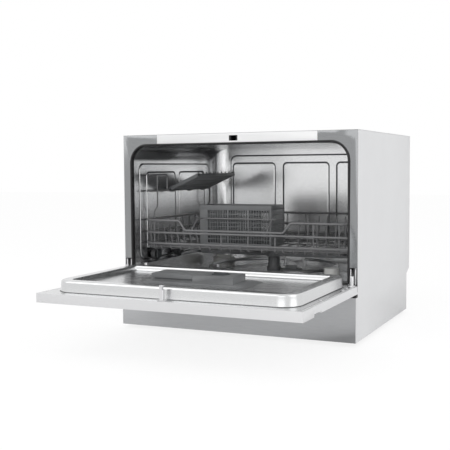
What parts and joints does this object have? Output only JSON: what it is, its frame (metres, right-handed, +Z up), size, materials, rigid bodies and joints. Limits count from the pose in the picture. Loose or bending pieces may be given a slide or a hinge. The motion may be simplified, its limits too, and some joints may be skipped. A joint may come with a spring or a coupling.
{
  "type": "countertop dishwasher",
  "caption": "Small free-standing countertop dishwasher with a drop-down door, a pull-out wire rack on wheels, a cutlery basket, a folding cup shelf and a rotating spray arm.",
  "frame": {"origin": "centre of the rest pose's footprint (door open, rack in), on the surface that the feet stand on", "axes": "+Z up; -Y out of the door opening towards the user; +X to the right as seen by the user; metres"},
  "size_m": [0.55, 0.7856, 0.438],
  "materials": {
    "silver_paint": "semi-gloss silver-gray paint",
    "kick_steel": "satin, finely brushed",
    "frame_steel": "satin pressed steel",
    "tub_steel": "bright pressed stainless steel",
    "zinc_steel": "zinc-plated",
    "silver_plastic": "silver-painted plastic",
    "black_plastic": "moulded, matte",
    "dark_plastic": "moulded, satin",
    "gray_plastic": "moulded, satin dark gray",
    "white_plastic": "moulded, matte",
    "button_plastic": "silver-painted, glossy",
    "black_rubber": "soft, matte",
    "coated_wire": "gray coating on steel wire, satin",
    "window": "smoked, glossy",
    "board": "circuit board"
  },
  "bodies": {
    "cabinet": {"base_tray": "black_plastic", "kick_plate": "kick_steel", "feet": "black_rubber", "left_side_panel": "silver_paint", "right_side_panel": "silver_paint", "top_panel": "silver_paint", "rear_panel": "zinc_steel", "front_frame": "frame_steel", "upper_beam": "silver_plastic", "tub": "tub_steel", "tub_floor": "tub_steel", "tub_gasket": "black_rubber", "lower_seal": "black_rubber", "hinge_brackets": "zinc_steel", "hinge_pins": "zinc_steel", "door_lock": "black_plastic", "sump": "gray_plastic", "filter_plate": "tub_steel", "spray_hub": "gray_plastic", "heater": "zinc_steel", "circulation_pump": "black_plastic", "drain_pump": "black_plastic", "softener_tank": "white_plastic", "float_switch": "black_plastic", "inlet_valve": "white_plastic", "drain_outlet": "black_plastic", "cable_gland": "black_rubber", "case_screws": "zinc_steel"},
    "lock_catch": {"latch_catch": "zinc_steel"},
    "filter": {"filter_cylinder": "gray_plastic"},
    "spray_rotor": {"spray_arm": "gray_plastic"},
    "circulation_rotor": {"circulation_impeller": "gray_plastic"},
    "drain_rotor": {"drain_impeller": "gray_plastic"},
    "softener_lid": {"softener_cap": "white_plastic"},
    "level_float": {"float": "white_plastic"},
    "door": {"door_panel": "silver_paint", "control_panel": "silver_plastic", "grip_channel": "gray_plastic", "door_liner": "tub_steel", "hinge_arms": "zinc_steel", "latch_hook": "zinc_steel", "liner_screws": "zinc_steel", "dispenser_body": "gray_plastic", "display_window": "window", "control_board": "board"},
    "dispenser_cover": {"dispenser_lid": "gray_plastic"},
    "rinse_cap": {"rinse_aid_cap": "dark_plastic"},
    "power_key": {"power_button": "button_plastic"},
    "program_key": {"program_button": "button_plastic"},
    "delay_key": {"delay_button": "button_plastic"},
    "start_key": {"start_button": "button_plastic"},
    "rack": {"rack_rims": "coated_wire", "rack_wires": "coated_wire", "rack_tines": "coated_wire", "wheel_brackets": "dark_plastic", "cutlery_basket": "gray_plastic"},
    "front_wheel_pair": {"front_wheels": "gray_plastic"},
    "middle_wheel_pair": {"middle_wheels": "gray_plastic"},
    "rear_wheel_pair": {"rear_wheels": "gray_plastic"},
    "shelf": {"cup_shelf": "gray_plastic"}
  },
  "joints": [
    {"name": "door_hinge", "type": "hinge", "parent": "cabinet", "child": "door", "pos_m": [0, -0.0748, 0.1195], "axis": [1, 0, 0], "range_deg": [-90, 0]},
    {"name": "rack_slide", "type": "slide", "parent": "cabinet", "child": "rack", "axis": [0, -1, 0], "range_m": [0, 0.304]},
    {"name": "front_wheel_roll", "type": "hinge", "parent": "rack", "child": "front_wheel_pair", "pos_m": [0, 0.0152, 0.1608], "axis": [1, 0, 0], "range_deg": [0, 1205]},
    {"name": "middle_wheel_roll", "type": "hinge", "parent": "rack", "child": "middle_wheel_pair", "pos_m": [0, 0.1252, 0.1608], "axis": [1, 0, 0], "range_deg": [0, 1205]},
    {"name": "rear_wheel_roll", "type": "hinge", "parent": "rack", "child": "rear_wheel_pair", "pos_m": [0, 0.3142, 0.1608], "axis": [1, 0, 0], "range_deg": [0, 1205]},
    {"name": "cup_shelf_fold", "type": "hinge", "parent": "rack", "child": "shelf", "pos_m": [-0.23875, 0.1737, 0.3105], "axis": [0, 1, 0], "range_deg": [-62, 0]},
    {"name": "spray_arm_spin", "type": "hinge", "parent": "cabinet", "child": "spray_rotor", "pos_m": [0, 0.1637, 0.157], "axis": [0, 0, 1], "continuous": true},
    {"name": "circulation_rotor_spin", "type": "hinge", "parent": "cabinet", "child": "circulation_rotor", "pos_m": [0.12, 0.1637, 0.061], "axis": [1, 0, 0], "continuous": true},
    {"name": "drain_rotor_spin", "type": "hinge", "parent": "cabinet", "child": "drain_rotor", "pos_m": [-0.12, 0.1637, 0.061], "axis": [1, 0, 0], "continuous": true},
    {"name": "dispenser_lid_slide", "type": "slide", "parent": "door", "child": "dispenser_cover", "axis": [1, 0, 0], "range_m": [-0.07, 0]},
    {"name": "rinse_aid_cap_twist", "type": "hinge", "parent": "door", "child": "rinse_cap", "pos_m": [0.038, -0.2138, 0.15], "axis": [0, 0, -1], "range_deg": [-90, 0]},
    {"name": "softener_cap_twist", "type": "hinge", "parent": "cabinet", "child": "softener_lid", "pos_m": [-0.185, 0.2712, 0.12], "axis": [0, 0, -1], "range_deg": [-90, 0]},
    {"name": "filter_cylinder_twist", "type": "hinge", "parent": "cabinet", "child": "filter", "pos_m": [0.044, 0.1637, 0.09], "axis": [0, 0, -1], "range_deg": [-60, 0]},
    {"name": "float_lift", "type": "slide", "parent": "cabinet", "child": "level_float", "axis": [0, 0, 1], "range_m": [0, 0.008]},
    {"name": "lock_catch_slide", "type": "slide", "parent": "cabinet", "child": "lock_catch", "axis": [1, 0, 0], "range_m": [-0.003, 0], "stiffness_N_per_m": 60, "springref_m": 0.003},
    {"name": "power_button_press", "type": "slide", "parent": "door", "child": "power_key", "axis": [0, 0, 1], "range_m": [0, 0.001], "stiffness_N_per_m": 150, "springref_m": -0.001},
    {"name": "program_button_press", "type": "slide", "parent": "door", "child": "program_key", "axis": [0, 0, 1], "range_m": [0, 0.001], "stiffness_N_per_m": 150, "springref_m": -0.001},
    {"name": "delay_button_press", "type": "slide", "parent": "door", "child": "delay_key", "axis": [0, 0, 1], "range_m": [0, 0.001], "stiffness_N_per_m": 150, "springref_m": -0.001},
    {"name": "start_button_press", "type": "slide", "parent": "door", "child": "start_key", "axis": [0, 0, 1], "range_m": [0, 0.001], "stiffness_N_per_m": 150, "springref_m": -0.001}
  ],
  "couplings": [
    {"joint": "front_wheel_roll", "follows": "rack_slide", "rad_per_m": 68.966},
    {"joint": "middle_wheel_roll", "follows": "rack_slide", "rad_per_m": 68.966},
    {"joint": "rear_wheel_roll", "follows": "rack_slide", "rad_per_m": 68.966}
  ]
}
